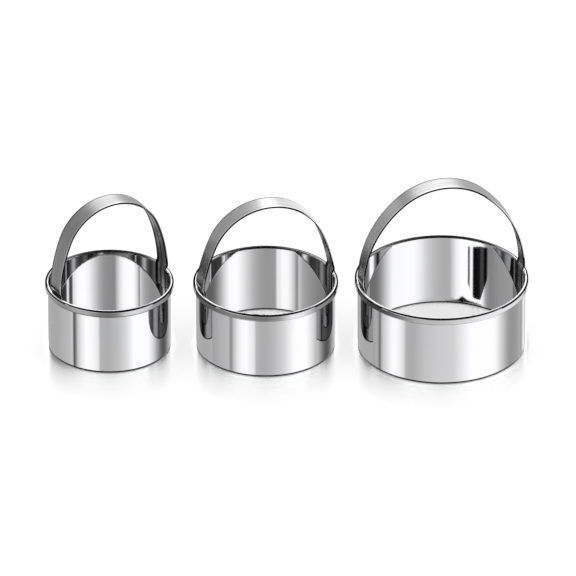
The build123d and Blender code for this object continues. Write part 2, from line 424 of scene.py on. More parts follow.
# %% Shape of a card
def stand_card(name, size, radius, columns, material):
    """A card bent round the axis through (bearing in radians, lower end, upper end) columns."""
    card = bmesh.new()
    edge = card.edges.new([card.verts.new((0, 0, 0)), card.verts.new((0, 0, 1))])
    for step, (bearing, low, high) in enumerate(columns):
        if step > 0:
            grown = bmesh.ops.extrude_edge_only(card, edges=[edge])["geom"]
            edge = next(e for e in grown if isinstance(e, bmesh.types.BMEdge)
                        and all(vert in grown for vert in e.verts))
        x, y = radius * math.sin(bearing), -radius * math.cos(bearing)
        lower, upper = sorted(edge.verts, key=lambda vert: vert.co.z)
        lower.co, upper.co = (x, y, low), (x, y, high)
    card.normal_update()
    card.faces.ensure_lookup_table()
    if card.faces[0].normal.dot(card.faces[0].calc_center_median()) > 0:
        bmesh.ops.reverse_faces(card, faces=card.faces)
    bmesh.ops.translate(card, verts=card.verts, vec=size["centre"])
    mesh = bpy.data.meshes.new(name)
    card.to_mesh(mesh)
    card.free()
    mesh.materials.append(material)
    piece = bpy.data.objects.new(name, mesh)
    scene.collection.objects.link(piece)
    for rays in ("camera", "diffuse", "transmission", "volume_scatter", "shadow"):
        setattr(piece, "visible_" + rays, False)


COLUMN_STEP = 3


def arc(start, end, low, high):
    """Columns of even height from one bearing to another, in degrees."""
    steps = max(1, round((end - start) / COLUMN_STEP))
    return [(math.radians(start + (end - start) * step / steps), low, high)
            for step in range(steps + 1)]


print("a full round card has", len(arc(-180, 180, 0, 1)), "columns")

# %% [markdown]
# ### Insides
# The inside wall of a ring, seen from above, mirrors what lies under the table: light that leaves the
# wall towards some bearing goes down and comes to a card close to the wall at one and a half times
# that bearing. So a pale round card under each ring gives its inside the soft bands. The levels are
# written by the bearing in which the light leaves the wall, 0 straight to the front and growing to
# the left.

# %% Levels of the insides
INSIDE = {
    "small": [(-120, 40), (-96, 50), (-92, 90), (-89.5, 235), (-87, 232), (-84, 85), (-80, 60),
              (-77, 110), (-74.5, 233), (-71, 230), (-64, 252), (-50, 255), (-40, 243), (-30, 211),
              (-20, 171), (-10, 146), (0, 139), (8, 137), (11, 150), (14, 188), (20, 228), (28, 252),
              (46, 255), (52, 233), (56, 202), (58.5, 140), (60, 158), (62.5, 213), (66, 182),
              (74, 160), (88, 140), (120, 140)],
    "medium": [(-120, 90), (-104, 95), (-96, 112), (-88, 148), (-80, 188), (-72, 224), (-64, 252),
               (-50, 255), (-40, 235), (-30, 208), (-20, 178), (-10, 160), (0, 152), (14, 153),
               (17, 160), (19, 230), (24, 235), (28, 251), (38, 250), (44, 226), (49, 200), (52, 165),
               (54.5, 133), (56.5, 160), (58.5, 198), (63, 180), (66, 165), (80, 148), (100, 130),
               (120, 120)],
    "large": [(-120, 105), (-104, 113), (-96, 138), (-90, 169), (-80, 219), (-72, 250), (-40, 255),
              (-30, 239), (-20, 208), (-10, 187), (0, 174), (12, 174), (15, 205), (18, 218),
              (20, 236), (28, 255), (58, 255), (61, 225), (63.4, 190), (65, 162), (70, 138), (73, 130),
              (82, 140), (90, 147), (120, 153)],
}
print("stops for the insides:", {name: len(stops) for name, stops in INSIDE.items()})

# %% [markdown]
# The second row of levels is for the wedges at both sides, where the wall mirrors itself first.
# Its bearings are those of the card. The card stands close to the wall, just under the table.

# %% Cards under the table
CARD_TURN = -1.5
CARD_BOTTOM, CARD_TOP = -42 * MM, -0.1 * MM
CARD_GAP = 0.3 * MM
DEEP_INSIDE = {
    "small": [(-180, 30), (-155, 60), (-144, 180), (-133, 140), (-122, 40), (-110, 60), (-98, 12),
              (-80, 8), (-72, 60), (-60, 92), (-50, 62), (-36, 48), (-24, 60), (-12, 90), (0, 170),
              (10, 150), (18, 85), (30, 45), (42, 35), (47, 60), (51, 190), (55, 60), (60, 20),
              (70, 60), (90, 120), (180, 60)],
    "medium": [(-180, 40), (-140, 60), (-112, 76), (-96, 130), (-86, 110), (-78, 50), (-66, 72),
               (-45, 52), (-22, 48), (-12, 100), (0, 190), (8, 230), (14, 180), (22, 60), (45, 55),
               (58, 42), (68, 60), (75, 25), (82, 60), (90, 190), (98, 110), (106, 150), (180, 90)],
    "large": [(-180, 60), (-135, 10), (-129, 110), (-122, 8), (-90, 8), (-84, 100), (-76, 120),
              (-71, 235), (-66, 235), (-62, 20), (-56, 20), (-49, 100), (-40, 142), (-30, 95),
              (-20, 100), (-8, 150), (10, 200), (30, 165), (50, 150), (59, 140), (68, 25), (76, 25),
              (84, 110), (92, 150), (99, 240), (118, 250), (126, 150), (135, 105), (180, 100)],
}
for name, size in CUTTERS.items():
    stops = sorted((CARD_TURN * seen, level) for seen, level in INSIDE[name])
    stand_card(name + "_card_under_table", size, size["wall"] - SHEET - CARD_GAP,
               arc(-180, 180, CARD_BOTTOM, CARD_TOP),
               card_material("pale round card, " + name, size, stops, DEEP_INSIDE[name]))
print("cards under the table:", len(INSIDE))

# %% [markdown]
# ### Rims
# A black collar stands round the back and the sides of each rim. The rolled rim mirrors it as the
# black line that sets the rim off from the white. It is higher at the left, where that line is
# widest, and lower in front of that.

# %% Black collars
COLLAR_GAP = 1.5 * MM
COLLARS = {"back": (45, 272, -2.0, 4.5), "left": (215, 272, 4.5, 9.0), "front": (272, 315, -2.0, 1.5)}
for name, size in CUTTERS.items():
    rim, top = size["wall"] + CURL_OVERHANG, size["height"]
    black = card_material("black collar, " + name, size, [(-180, 6), (180, 6)])
    for part, (start, end, low, high) in COLLARS.items():
        stand_card(f"{name}_{part}_collar", size, rim + COLLAR_GAP,
                   arc(start, end, top + low * MM, top + high * MM), black)
print("collars:", len(CUTTERS) * len(COLLARS))

# %% [markdown]
# ### Black streak
# The inside of the large cutter shows a black streak with a rounded foot. It is a card just in front
# of the pale one, with the same kind of bearings. Its lower and upper ends are in millimetres.

# %% Black card inside the large cutter
BLACK_GAP = 0.8 * MM
BLACK_CARD = [(37.4, 242), (38.3, 45), (39.3, 45), (40.6, 170), (41.2, 250), (44.2, 252), (45.3, 120),
              (46, 8), (54, 20), (55.6, 22), (56.8, 58), (60.5, 66), (62, 50), (63, 3), (65.6, 3),
              (66.9, 32), (68.2, 100), (70, 138), (72, 124)]
BLACK_CARD_ENDS = [(37, -30, -9.5), (40, -32.5, -9.2), (44, -36.5, -8.5), (48, -37, -7.5),
                   (52, -36.5, -6.5), (57, -35.5, -5), (59, -32.5, -4.6), (62.4, -27.5, -4),
                   (65, -24.5, -3.2), (67.4, -21, -2.6), (70, -15, -2), (72, -11, -2)]
size = CUTTERS["large"]
stand_card("large_black_card", size, size["wall"] - SHEET - BLACK_GAP,
           sorted((math.radians(CARD_TURN * seen), low * MM, high * MM)
                  for seen, low, high in BLACK_CARD_ENDS),
           card_material("black card", size,
                         sorted((CARD_TURN * seen, level) for seen, level in BLACK_CARD)))
print("black card: lower and upper ends at", len(BLACK_CARD_ENDS), "bearings")

# %% [markdown]
# A thin black wedge runs along the far foot of the same wall. Its card is written as the height that
# the wedge reaches on the wall, and the light from there falls as steeply as the camera looks down.

# %% Foot card inside the large cutter
FOOT_GAP = 0.9 * MM
FOOT_CARD_BOTTOM = -52 * MM
FOOT_LINE = [(6, 0.4), (16, 0.8), (22, 1.4), (25, 2.0), (29, 3.6), (32, 3.2), (36, 2.2), (40, 1.7),
             (46, 1.4), (52, 1.2), (60, 0.7)]
reach = size["wall"] - SHEET - FOOT_GAP
stand_card("large_foot_card", size, reach,
           sorted((math.radians(CARD_TURN * seen), FOOT_CARD_BOTTOM,
                   height * MM - 2 * reach * math.cos(math.radians(seen / 2)) * math.tan(ELEVATION))
                  for seen, height in FOOT_LINE),
           card_material("black foot card", size, [(-180, 4), (180, 4)]))
print("foot card: up to", max(height for _, height in FOOT_LINE), "mm up the wall")

# %% [markdown]
# ### Outsides
# The room suits the small cutter's outer wall. The other two differ a little from it: their dark
# strips and white panels lie at other bearings. Each has a card close to its wall. The levels are
# written by twice the bearing on the wall, which is the way that the light goes, and are carried over
# to where that light meets the card.

# %% Cards beside the outer walls
def card_bearing(size, radius, seen):
    """Where and after how long light that goes towards a bearing meets a card round the ring."""
    wall, leans = size["wall"], math.radians(seen / 2)
    path = math.sqrt(wall ** 2 * math.cos(leans) ** 2 + radius ** 2 - wall ** 2) - wall * math.cos(leans)
    x = wall * math.sin(leans) + path * math.sin(2 * leans)
    y = wall * math.cos(leans) + path * math.cos(2 * leans)
    return math.degrees(math.atan2(x, y)), path


OUTSIDE_GAP = 3.5 * MM
OUTSIDE_STEPS = 60
CARD_DROP = 0.4 * MM
OUTSIDE = {
    "medium": [(-100, 160), (-80, 177), (-70, 182), (-64, 186), (-61.5, 160), (-60, 80), (-58.5, 150),
               (-55, 190), (-48, 228), (-40, 250), (-32, 254), (-24, 236), (-18.5, 234), (-17, 186),
               (-8, 175), (0, 174), (8, 180), (16, 189), (24, 202), (32, 216), (40, 236), (48, 252),
               (66, 255), (72, 253), (80, 233), (88, 210), (94, 175)],
    "large": [(-110, 160), (-102, 172), (-97.5, 160), (-96, 50), (-94.5, 110), (-91, 190),
              (-80, 229), (-72, 253), (-64, 250), (-56, 226), (-52.5, 215), (-51.5, 176), (-40, 172),
              (-24, 195), (-8, 203), (16, 210), (24, 228), (40, 255),
              (74, 255), (80, 249), (88, 218), (96, 188), (104, 156), (112, 147), (128, 154),
              (136, 166), (144, 152), (149, 185), (152, 218), (160, 206), (168, 180), (176, 110)],
}
for name, stops in OUTSIDE.items():
    size = CUTTERS[name]
    reach = size["wall"] + OUTSIDE_GAP
    first, last = stops[0][0], stops[-1][0]
    places = [card_bearing(size, reach, first + (last - first) * step / OUTSIDE_STEPS)
              for step in range(OUTSIDE_STEPS + 1)]
    stand_card(name + "_outside_card", size, reach,
               [(math.radians(bearing), -path * math.tan(ELEVATION) - CARD_DROP,
                 size["height"] - CURL_HEIGHT) for bearing, path in places],
               card_material("pale card beside the cutter, " + name, size,
                             [(card_bearing(size, reach, seen)[0], level) for seen, level in stops]))
print("cards beside the outer walls:", len(OUTSIDE))

# %% [markdown]
# ### Beads
# The front of the rolled rim is a bead that mirrors nearly the whole room at once. In the photograph it
# is greyer than the wall, with a lighter stretch at the right, so a grey card stands before it.

# %% Cards before the beads
BEAD_GAP = 1.2 * MM
BEAD_CARD_LOW, BEAD_CARD_HIGH = 1.8 * MM, 1.3 * MM
BEAD_CARD_END = 75
BEADS = {
    "small": [(-75, 150), (-45, 138), (-30, 165), (-20, 165), (-9, 122), (0, 110), (8, 132), (16, 205),
              (24, 220), (36, 205), (46, 155), (75, 110)],
    "medium": [(-75, 80), (-50, 92), (-30, 128), (-20, 130), (0, 114), (12, 150), (22, 238), (32, 232),
               (45, 150), (60, 128), (75, 110)],
    "large": [(-75, 90), (-56, 60), (-42, 75), (-30, 120), (-16, 178), (0, 190), (30, 235), (60, 225),
              (75, 190)],
}
for name, stops in BEADS.items():
    size = CUTTERS[name]
    stand_card(name + "_bead_card", size, size["wall"] + CURL_OVERHANG + BEAD_GAP,
               arc(-BEAD_CARD_END, BEAD_CARD_END, size["height"] - CURL_HEIGHT - BEAD_CARD_LOW,
                   size["height"] - BEAD_CARD_HIGH),
               card_material("grey card before the bead, " + name, size, stops))
print("cards before the beads:", len(BEADS))

# %% [markdown]
# ### Medium handle
# The bright stretch of the medium handle lies elsewhere than on the other two. Two cards behind the
# handle change what its crown mirrors of the lamp: the one at the left goes over from white to grey,
# and the one at the right is white.

# %% Cards beside the lamp
LAMP_CARD_RADIUS = 50 * MM
LAMP_CARDS = {
    "left": (190, 235, 95, 165, [(-170, 245), (-164, 236), (-152, 212), (-141, 190), (-125, 170)]),
    "right": (135, 164, 40, 98, [(135, 235), (145, 255), (164, 255)]),
}
size = CUTTERS["medium"]
for part, (start, end, low, high, stops) in LAMP_CARDS.items():
    stand_card(f"medium_{part}_lamp_card", size, LAMP_CARD_RADIUS, arc(start, end, low * MM, high * MM),
               card_material(f"card {part} of the lamp", size, stops))
print("cards beside the lamp:", len(LAMP_CARDS))

# %% [markdown]
# ## Metals
# Every metal here keeps the marks of the tool that made its surface. Such marks are streaks: noise
# that varies fast across the way the tool went and slowly along it. Their scales are in cycles
# per metre, so 1600 stands for lines about 0.6 mm apart.

# %% Start of a metal
def start_metal(name):
    """A new material with an empty tree and the coordinates of the whole model."""
    material = bpy.data.materials.new(name)
    material.use_nodes = True
    material.node_tree.nodes.clear()
    place = add_node(material.node_tree, "ShaderNodeTexCoord").outputs["Object"]
    return material, material.node_tree, place


def streaks(tree, place, scale, turn=0.0, detail=3.0):
    """Noise drawn out into streaks: the scale is in cycles per metre along each axis."""
    turned = add_node(tree, "ShaderNodeMapping", inputs={
        "Vector": place, "Rotation": (0, 0, -turn)}).outputs[0]
    stretched = add_node(tree, "ShaderNodeMapping", inputs={
        "Vector": turned, "Scale": scale}).outputs[0]
    return add_node(tree, "ShaderNodeTexNoise", inputs={
        "Vector": stretched, "Scale": 1.0, "Detail": detail, "Roughness": 0.6}).outputs["Fac"]


print("streaks at 1600 cycles per metre lie", 1000 / 1600, "mm apart")

# %% [markdown]
# The rings are stainless steel sheet, mirror-polished on a mop. That leaves hairlines that run round
# the ring, too fine to see singly, and faint smears. The hairlines would be a few hundredths of a
# millimetre apart and are drawn coarser, so that they show at all. The cutting edge has a duller strip
# where it meets the board, and below that the sheet is painted dark grey: painted shade at the foot.

# %% Polished sheet
HAIRLINES = (30, 30, 1600)  # 33 mm long, 0.6 mm apart
SMEARS = (45, 45, 70)  # 22 mm long, 14 mm high
# painted shade: below these heights the sheet goes over to dark grey, the dark line at the foot
FOOT_SHADE_END, FOOT_SHADE_CLEAR = 0.5 * MM, 0.8 * MM
WORN_END, UNWORN_START = 0.9 * MM, 1.4 * MM
HAIRLINE_DEPTH = 0.0003 * MM

polished, tree, place = start_metal("mirror-polished stainless sheet")
hairlines = streaks(tree, place, HAIRLINES)
smears = streaks(tree, place, SMEARS)
cloudy = add_node(tree, "ShaderNodeMapRange", inputs={
    "Value": smears, "From Min": 0.35, "From Max": 0.75, "To Min": 0.02, "To Max": 0.05}).outputs[0]
lined = add_node(tree, "ShaderNodeMapRange", inputs={
    "Value": hairlines, "From Min": 0.3, "From Max": 0.8, "To Min": 0.0, "To Max": 0.03}).outputs[0]
level = add_node(tree, "ShaderNodeSeparateXYZ", inputs={0: place}).outputs["Z"]
edge_wear = add_node(tree, "ShaderNodeMapRange", inputs={
    "Value": level, "From Min": WORN_END, "From Max": UNWORN_START, "To Min": 0.06,
    "To Max": 0.0}).outputs[0]
dulled = add_node(tree, "ShaderNodeMath", {"operation": "ADD"}, {0: cloudy, 1: lined}).outputs[0]
rough = add_node(tree, "ShaderNodeMath", {"operation": "ADD"}, {0: dulled, 1: edge_wear}).outputs[0]
bumps = add_node(tree, "ShaderNodeBump", inputs={
    "Strength": 1.0, "Distance": HAIRLINE_DEPTH, "Height": hairlines}).outputs[0]
tone = add_node(tree, "ShaderNodeMix", {"data_type": "RGBA"}, {
    0: smears, 6: linear("#CBCCCF"), 7: linear("#D1D0D0")}).outputs[2]
# painted shade at the foot of the ring, dark grey #3C3C3C
foot_shade = add_node(tree, "ShaderNodeMapRange", inputs={
    "Value": level, "From Min": FOOT_SHADE_END, "From Max": FOOT_SHADE_CLEAR}).outputs[0]
tone = add_node(tree, "ShaderNodeMix", {"data_type": "RGBA"}, {
    0: foot_shade, 6: linear("#3C3C3C"), 7: tone}).outputs[2]
shader = add_node(tree, "ShaderNodeBsdfPrincipled", inputs={
    "Base Color": tone, "Metallic": 1.0, "Roughness": rough, "Normal": bumps})
add_node(tree, "ShaderNodeOutputMaterial", inputs={0: shader.outputs[0]})
print("polished sheet: roughness about 0.04 to 0.08")

# %% [markdown]
# The handles are cut from satin strip. Its front edge gets a painted highlight, and its back edge
# painted shade. Each handle is turned by its own angle, so each has its own copy of
# the finish, turned with it.

# %% Painted edge light across the strap
EDGE_HIGHLIGHT_END, EDGE_HIGHLIGHT_FADE = -4.7 * MM, -3.9 * MM
EDGE_SHADE_FADE, EDGE_SHADE_START = 3.9 * MM, 4.5 * MM
# painted highlight at the strap's front edge, painted shade at its back edge
EDGE_HIGHLIGHT, EDGE_SHADE = 1.5, 0.25


def strap_axes(tree, place, size):
    """Where a point is along the strap's row (X) and across the strap, back edge positive (Y)."""
    from_axis = add_node(tree, "ShaderNodeVectorMath", {"operation": "SUBTRACT"}, {
        0: place, 1: size["centre"]}).outputs[0]
    turned = add_node(tree, "ShaderNodeMapping", inputs={
        "Vector": from_axis, "Rotation": (0, 0, -size["turn"])}).outputs[0]
    return add_node(tree, "ShaderNodeSeparateXYZ", inputs={0: turned}).outputs


def edge_light_across(tree, across):
    """How bright the strip is painted across the strap, against 1 in its middle: a painted highlight at
    the front edge and painted shade at the back edge.
    """
    highlighted = add_node(tree, "ShaderNodeMapRange", inputs={
        "Value": across, "From Min": EDGE_HIGHLIGHT_END, "From Max": EDGE_HIGHLIGHT_FADE, "To Min": EDGE_HIGHLIGHT,
        "To Max": 1.0}).outputs[0]
    shaded = add_node(tree, "ShaderNodeMapRange", inputs={
        "Value": across, "From Min": EDGE_SHADE_FADE, "From Max": EDGE_SHADE_START, "To Min": 1.0,
        "To Max": EDGE_SHADE}).outputs[0]
    return add_node(tree, "ShaderNodeMath", {"operation": "MULTIPLY"}, {
        0: highlighted, 1: shaded}).outputs[0]


print("the front edge is", EDGE_HIGHLIGHT, "times as bright, the back edge", EDGE_SHADE, "times")

# %% [markdown]
# The rolls leave a fine grain along the strip. It runs round the arch, so it varies fast across
# the strap and slowly along it. Its lines would be narrower than a pixel and are drawn coarser. A
# second, wider noise gathers them in bands, and where the bands are dark, the strip is rougher
# too. The bending die pressed the joggles smoother than the rest.

# %% Satin strip
GRAIN = (60, 2600, 60)  # 17 mm long, 0.4 mm apart
BANDS = (25, 700, 25)  # 40 mm long, 1.4 mm apart
GRAIN_DEPTH = 0.004 * MM
PRESSED_END, PRESSED_FADE = 2.6 * MM, 3.2 * MM
PRESSED = 0.3
# one strip in three tones, each standing in for how brightly that handle is lit: painted light and shade
LIT_STRAP_TONES = {"small": (144, 166), "medium": (162, 186), "large": (153, 177)}


def satin_strap(name, size, dark, light):
    """Stainless strip with a satin grain along it and joggles burnished by the bending die."""
    material, tree, place = start_metal(name)
    across = strap_axes(tree, place, size)["Y"]
    grain = streaks(tree, place, GRAIN, size["turn"])
    bands = streaks(tree, place, BANDS, size["turn"])
    mixed = add_node(tree, "ShaderNodeMath", {"operation": "MULTIPLY"}, {0: grain, 1: bands}).outputs[0]
    tone = add_node(tree, "ShaderNodeValToRGB", inputs={0: mixed})
    fill_ramp(tone, [(0.12, dark), (0.42, light)])
    colour = add_node(tree, "ShaderNodeVectorMath", {"operation": "SCALE"}, {
        0: tone.outputs[0], 3: edge_light_across(tree, across)}).outputs[0]
    rough = add_node(tree, "ShaderNodeMapRange", inputs={
        "Value": mixed, "From Min": 0.1, "From Max": 0.45, "To Min": 0.34, "To Max": 0.2}).outputs[0]
    level = add_node(tree, "ShaderNodeSeparateXYZ", inputs={0: place}).outputs["Z"]
    pressed = add_node(tree, "ShaderNodeMapRange", inputs={
        "Value": level, "From Min": size["height"] + PRESSED_END,
        "From Max": size["height"] + PRESSED_FADE, "To Min": PRESSED}).outputs[0]
    rough = add_node(tree, "ShaderNodeMath", {"operation": "MULTIPLY"}, {0: rough, 1: pressed}).outputs[0]
    bumps = add_node(tree, "ShaderNodeBump", inputs={
        "Strength": 1.0, "Distance": GRAIN_DEPTH, "Height": grain}).outputs[0]
    shader = add_node(tree, "ShaderNodeBsdfPrincipled", inputs={
        "Base Color": colour, "Metallic": 1.0, "Roughness": rough, "Normal": bumps})
    add_node(tree, "ShaderNodeOutputMaterial", inputs={0: shader.outputs[0]})
    return material


straps = {name: satin_strap("satin stainless strip, " + name, size, *LIT_STRAP_TONES[name])
          for name, size in CUTTERS.items()}
print("satin strips:", len(straps))

# %% [markdown]
# The inner face carries painted reflections: bright bands, brighter than the outer face, with dark
# stripes along them that wander a little from side to side, and painted shade at both edges. Their
# levels are written across the strap, from the front edge at 0 to the back edge at 1.

# %% Rolled inner face with painted reflections
BAND_WANDER_NOISE = (10, 420, 10)  # 100 mm long, 2.4 mm apart
WANDER = 0.6 * MM
# painted reflections: bright bands and dark stripes across the inner face, with painted shade at its
# edges
PAINTED_REFLECTION_TONES = [(0.0, 60), (0.08, 230), (0.3, 244), (0.42, 150), (0.46, 40), (0.5, 160), (0.56, 246),
                (0.72, 240), (0.78, 20), (1.0, 12)]


def rolled_face(name, size):
    """The inner face of the strip: painted reflections, bright bands with dark stripes along them that
    wander.
    """
    material, tree, place = start_metal(name)
    # this noise only makes the painted reflection stripes wander
    marks = streaks(tree, place, BAND_WANDER_NOISE, size["turn"], 1.0)
    across = strap_axes(tree, place, size)["Y"]
    wobble = add_node(tree, "ShaderNodeMapRange", inputs={
        "Value": marks, "From Min": 0.3, "From Max": 0.7, "To Min": -WANDER,
        "To Max": WANDER}).outputs[0]
    across = add_node(tree, "ShaderNodeMath", {"operation": "ADD"}, {0: across, 1: wobble}).outputs[0]
    across = add_node(tree, "ShaderNodeMapRange", inputs={
        "Value": across, "From Min": -STRAP_WIDTH / 2, "From Max": STRAP_WIDTH / 2}).outputs[0]
    tone = add_node(tree, "ShaderNodeValToRGB", inputs={0: across})
    fill_ramp(tone, PAINTED_REFLECTION_TONES)
    shader = add_node(tree, "ShaderNodeBsdfPrincipled", inputs={
        "Base Color": tone.outputs[0], "Metallic": 1.0, "Roughness": 0.25})
    add_node(tree, "ShaderNodeOutputMaterial", inputs={0: shader.outputs[0]})
    return material


inner_faces = {name: rolled_face(f"rolled inner face, {name}", size)
               for name, size in CUTTERS.items()}
print("rolled inner faces:", len(inner_faces))

# %% [markdown]
# Shears cut the strip. They rub the first half of the cut edge smooth, which is the burnished band,
# and then the rest tears off as the rough and dark fracture band. In the photograph the burnished
# band is bright at the right shoulder and down at the feet, and dark over the rest of the arch, so that
# is painted on the band: a painted highlight there and painted shade elsewhere.

# %% Cut edge of the strip
HIGHLIGHT_FROM, HIGHLIGHT_AT = 0.5, 0.65  # along the row, as shares of the wall's radius
LOW_AT, LOW_END = 5 * MM, 9 * MM  # above the rim
NICKS = (900, 900, 900)  # 1.1 mm apart


def burnished_edge(name, size):
    """The part of the strip's edge that the shears rubbed: a painted highlight on the right side and the
    legs, painted shade over the rest.
    """
    material, tree, place = start_metal(name)
    along = add_node(tree, "ShaderNodeMapRange", inputs={
        "Value": strap_axes(tree, place, size)["X"], "From Min": HIGHLIGHT_FROM * size["wall"],
        "From Max": HIGHLIGHT_AT * size["wall"]}).outputs[0]
    level = add_node(tree, "ShaderNodeSeparateXYZ", inputs={0: place}).outputs["Z"]
    low = add_node(tree, "ShaderNodeMapRange", inputs={
        "Value": level, "From Min": size["height"] + LOW_AT, "From Max": size["height"] + LOW_END,
        "To Min": 1.0, "To Max": 0.0}).outputs[0]
    # painted highlight on the right shoulder and at the feet, painted shade over the rest of the arch
    bright = add_node(tree, "ShaderNodeMath", {"operation": "MAXIMUM"}, {0: along, 1: low}).outputs[0]
    tone = add_node(tree, "ShaderNodeMix", {"data_type": "RGBA"}, {
        0: bright, 6: linear("#101010"), 7: linear("#DCDCDC")}).outputs[2]
    shader = add_node(tree, "ShaderNodeBsdfPrincipled", inputs={
        "Base Color": tone, "Metallic": 1.0, "Roughness": 0.2})
    add_node(tree, "ShaderNodeOutputMaterial", inputs={0: shader.outputs[0]})
    return material


burnished = {name: burnished_edge("burnished strip edge, " + name, size)
             for name, size in CUTTERS.items()}
fracture, tree, place = start_metal("fracture band of the strip edge")
tone = add_node(tree, "ShaderNodeValToRGB", inputs={0: streaks(tree, place, NICKS)})
# the fracture band is a real duller band, but its near-black tone is painted shade: the dark line along
# each edge
fill_ramp(tone, [(0.3, 2), (0.7, 10)])
shader = add_node(tree, "ShaderNodeBsdfPrincipled", inputs={
    "Base Color": tone.outputs[0], "Metallic": 1.0, "Roughness": 0.6})
add_node(tree, "ShaderNodeOutputMaterial", inputs={0: shader.outputs[0]})
print("burnished edges:", len(burnished))

# %% [markdown]
# Weld metal is the same steel, melted and frozen again. It was ground flush, so it is covered with
# short scratches, drawn coarser than they are, and is darker than the sheet. The spot welds keep
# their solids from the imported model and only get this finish.

# %% Weld metal
SCRATCHES = (2200, 2200, 2200)  # 0.5 mm apart
SCRATCH_DEPTH = 0.01 * MM

weld_metal, tree, place = start_metal("ground weld metal")
specks = streaks(tree, place, SCRATCHES)
tone = add_node(tree, "ShaderNodeValToRGB", inputs={0: specks})
fill_ramp(tone, [(0.3, 168), (0.7, 196)])
rough = add_node(tree, "ShaderNodeMapRange", inputs={
    "Value": specks, "From Min": 0.3, "From Max": 0.7, "To Min": 0.25, "To Max": 0.5}).outputs[0]
bumps = add_node(tree, "ShaderNodeBump", inputs={
    "Strength": 1.0, "Distance": SCRATCH_DEPTH, "Height": specks}).outputs[0]
shader = add_node(tree, "ShaderNodeBsdfPrincipled", inputs={
    "Base Color": tone.outputs[0], "Metallic": 1.0, "Roughness": rough, "Normal": bumps})
add_node(tree, "ShaderNodeOutputMaterial", inputs={0: shader.outputs[0]})
spot_welds = [node for name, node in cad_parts.items() if name.endswith("spot_welds")]
for node in spot_welds:
    node.data.materials.clear()
    node.data.materials.append(weld_metal)
print("legs with weld metal on their spot welds:", len(spot_welds))

# %% [markdown]
# ## Pieces
# Each new piece is made round the upright axis, as if its cutter stood there unturned. One
# function then places it, smooths it but for its sharp edges, and hides the node of the
# imported model that it stands for.

# %% Finishing a piece
RING_SHARP = 18


def finish_piece(name, shape, materials, body, stands_for, size, sharp=RING_SHARP):
    """Turns a bmesh made about the axis into a placed piece, smooth but for sharp edges (degrees)."""
    bmesh.ops.recalc_face_normals(shape, faces=shape.faces)
    place = Matrix.Translation(size["centre"]) @ Matrix.Rotation(size["turn"], 4, "Z")
    bmesh.ops.transform(shape, matrix=place, verts=shape.verts)
    for face in shape.faces:
        face.smooth = True
    for edge in shape.edges:
        edge.smooth = not edge.is_manifold or edge.calc_face_angle() < math.radians(sharp)
    mesh = bpy.data.meshes.new(name)
    shape.to_mesh(mesh)
    shape.free()
    for material in materials:
        mesh.materials.append(material)
    piece = bpy.data.objects.new(name, mesh)
    scene.collection.objects.link(piece)
    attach(piece, body)
    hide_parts(stands_for)
    return piece


print("cutters to dress:", ", ".join(CUTTERS))

# %% [markdown]
# ### Rings
# A ring is one closed outline carried round the axis: bevelled cutting edge, wall, and a rim
# curled outwards over itself. The outline starts as one face with straight sides, and a vertex bevel
# rounds the curl's corners, more widely outside the curl than in its hollow.

# %% Outline of a ring
SHARP, OUTER, HOLLOW = range(3)
OUTER_SEGMENTS, HOLLOW_SEGMENTS = 10, 6


def ring_outline(size):
    """A bmesh with the ring's section as one face, in the plane that holds its axis."""
    wall, height = size["wall"], size["height"]
    inner, rim = wall - SHEET, wall + CURL_OVERHANG
    hollow = rim - SHEET
    corners = [
        (inner, 0, SHARP), (inner, height, OUTER), (rim, height, OUTER),
        (rim, height - CURL_HEIGHT, OUTER), (wall + CURL_END_GAP, height - CURL_HEIGHT, SHARP),
        (wall + CURL_END_GAP, height - CURL_HEIGHT + SHEET, SHARP),
        (hollow, height - CURL_HEIGHT + SHEET, HOLLOW), (hollow, height - SHEET, HOLLOW),
        (wall, height - SHEET, HOLLOW), (wall, EDGE_BEVEL, SHARP), (inner + EDGE_LAND, 0, SHARP)]
    outline = bmesh.new()
    verts = [outline.verts.new((radius, 0, level)) for radius, level, _ in corners]
    outline.faces.new(verts)
    radius = (rim - inner) / 2
    for kind, offset, segments in ((OUTER, radius, OUTER_SEGMENTS),
                                   (HOLLOW, radius - SHEET, HOLLOW_SEGMENTS)):
        bmesh.ops.bevel(outline, geom=[v for v, c in zip(verts, corners) if c[2] == kind],
                        affect="VERTICES", offset=offset, segments=segments, profile=0.5,
                        material=-1)
    return outline


section = ring_outline(CUTTERS["small"])
print("corners of the outline, rounded:", len(section.verts))
section.free()

# %% [markdown]
# The spin stops short by the width of the seam, and the seam weld is the rest of the same spin.
# Normals follow the large faces, so that the wall stays a true mirror.

# %% Rings and their seams
RING_STEPS, SEAM_STEPS = 300, 2


def swept_ring(size, start, angle, steps):
    """The outline carried round the axis from a start angle, closed at both ends."""
    ring = ring_outline(size)
    bmesh.ops.rotate(ring, verts=ring.verts, cent=(0, 0, 0),
                     matrix=Matrix.Rotation(start, 3, "Z"))
    bmesh.ops.spin(ring, geom=ring.faces[:] + ring.edges[:] + ring.verts[:],
                   axis=(0, 0, 1), cent=(0, 0, 0), angle=angle, steps=steps)
    return ring


for name, size in CUTTERS.items():
    seam = SEAM_WIDTH / size["wall"]
    ring = finish_piece(name + "_polished_ring",
                        swept_ring(size, seam / 2, 2 * math.pi - seam, RING_STEPS),
                        [polished], name + "_cutter", name + "_ring", size)
    finish_piece(name + "_ground_seam", swept_ring(size, -seam / 2, seam, SEAM_STEPS),
                 [weld_metal], name + "_cutter", name + "_seam_weld", size)
    steady = ring.modifiers.new("normals from the large faces", "WEIGHTED_NORMAL")
    steady.keep_sharp = True
    print(name, "ring:", len(ring.data.polygons), "faces")

# %% [markdown]
# ### Handles
# A handle is a strap bent to an arch: an arc at each side, which leans inwards a little at its foot,
# and a crown arc that meets both smoothly. The side arc's centre and the crown arc's radius follow
# from the sizes, because the arch has to reach from the foot to the top.

